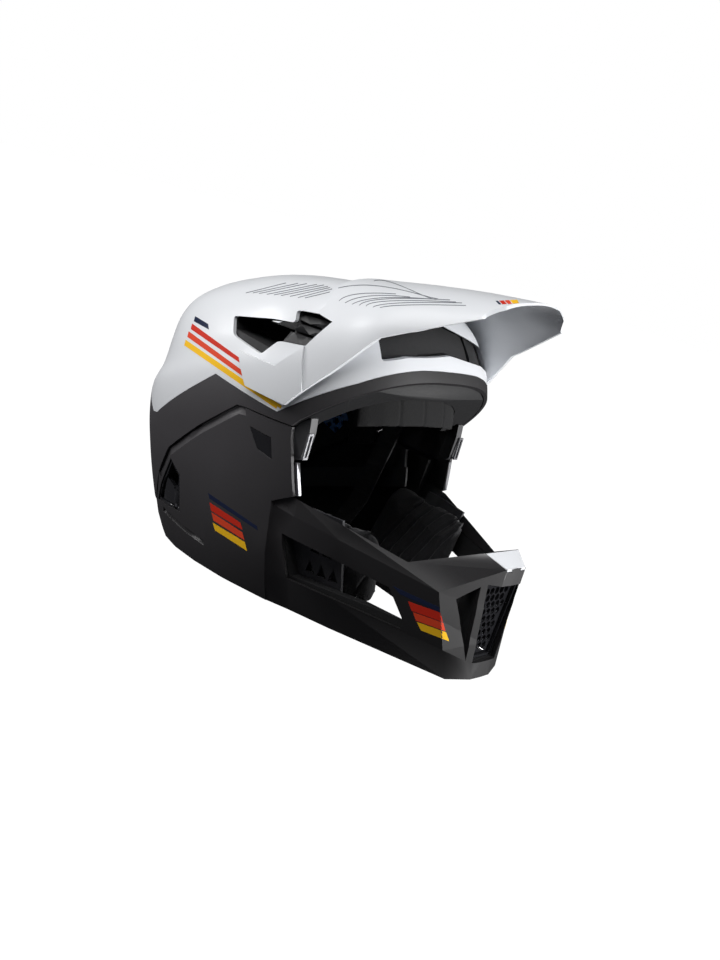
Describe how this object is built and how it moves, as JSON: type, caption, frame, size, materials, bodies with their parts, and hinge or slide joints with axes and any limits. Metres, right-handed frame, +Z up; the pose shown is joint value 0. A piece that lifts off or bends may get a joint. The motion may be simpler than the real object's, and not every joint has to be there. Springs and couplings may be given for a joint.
{
  "type": "full face downhill bike helmet",
  "caption": "Full face bike helmet with hinged peak visor, sliding chin bar with mesh grille and side latches, foam liner, cheek pads and a dial cradle.",
  "frame": {"origin": "middle of the helmet's bounding box, on the floor it stands on", "axes": "+Z up, -Y towards the front of the helmet, -X towards the wearer's right"},
  "size_m": [0.2366, 0.3506, 0.2703],
  "materials": {
    "white_shell": "satin white",
    "black_shell": "gloss black",
    "foam": "bead foam",
    "black_plastic": "fine grain",
    "grey_plastic": "fine grain",
    "white_plastic": "satin",
    "blue_gel": "soft gel",
    "pad_cloth": "brushed knit",
    "webbing": "woven",
    "steel": "brushed"
  },
  "bodies": {
    "helmet": {"upper_shell": "white_shell", "lower_shell": "black_shell", "eps_liner": "foam", "turbine_discs": "blue_gel", "crown_pads": "pad_cloth", "brow_pad": "pad_cloth", "side_pads": "pad_cloth", "cradle_anchors": "black_plastic", "height_rails": "black_plastic", "visor_pivots": "black_plastic", "visor_rail_left": "black_plastic", "visor_rail_right": "black_plastic", "strap_left": "webbing", "strap_right": "webbing", "strap_anchors": "black_plastic", "buckle_socket": "black_plastic"},
    "visor": {"visor": "white_shell"},
    "chin_bar": {"chin_bar_shell": "black_shell", "chin_liner": "foam", "chin_cap": "white_plastic", "grille_frame": "black_plastic", "mouth_grille": "black_plastic", "temple_bracket_left": "grey_plastic", "temple_bracket_right": "grey_plastic", "bracket_clips": "grey_plastic", "cheek_pad_left": "pad_cloth", "cheek_pad_right": "pad_cloth", "cheek_carrier_left": "black_plastic", "cheek_carrier_right": "black_plastic", "badge_plates": "black_shell", "port_trims": "grey_plastic", "latch_pan_left": "black_plastic", "latch_pan_right": "black_plastic", "latch_pins": "steel"},
    "cradle": {"cradle": "black_plastic", "dial_housing": "black_plastic"},
    "dial": {"retention_dial": "black_plastic"},
    "buckle": {"buckle_tongue": "black_plastic"},
    "latch_left": {"latch_lever_left": "black_plastic"},
    "latch_right": {"latch_lever_right": "black_plastic"}
  },
  "joints": [
    {"name": "visor_tilt", "type": "hinge", "parent": "helmet", "child": "visor", "pos_m": [0, 0.00863, 0.163], "axis": [-1, 0, 0], "range_deg": [0, 10]},
    {"name": "chin_bar_release", "type": "slide", "parent": "helmet", "child": "chin_bar", "axis": [0, -1, 0], "range_m": [0, 0.06]},
    {"name": "cradle_height", "type": "slide", "parent": "helmet", "child": "cradle", "axis": [0, 0.3535, 0.9354], "range_m": [0, 0.012]},
    {"name": "dial_turn", "type": "hinge", "parent": "cradle", "child": "dial", "pos_m": [0, 0.13291, 0.02361], "axis": [0, 0.9354, -0.3535], "continuous": true},
    {"name": "buckle_slide", "type": "slide", "parent": "helmet", "child": "buckle", "axis": [0, -1, 0], "range_m": [0, 0.014]},
    {"name": "latch_left_lift", "type": "hinge", "parent": "chin_bar", "child": "latch_left", "pos_m": [0.09066, 0.07963, 0.0445], "axis": [0, 0, -1], "range_deg": [0, 20]},
    {"name": "latch_right_lift", "type": "hinge", "parent": "chin_bar", "child": "latch_right", "pos_m": [-0.09066, 0.07963, 0.0445], "axis": [0, 0, 1], "range_deg": [0, 20]}
  ]
}
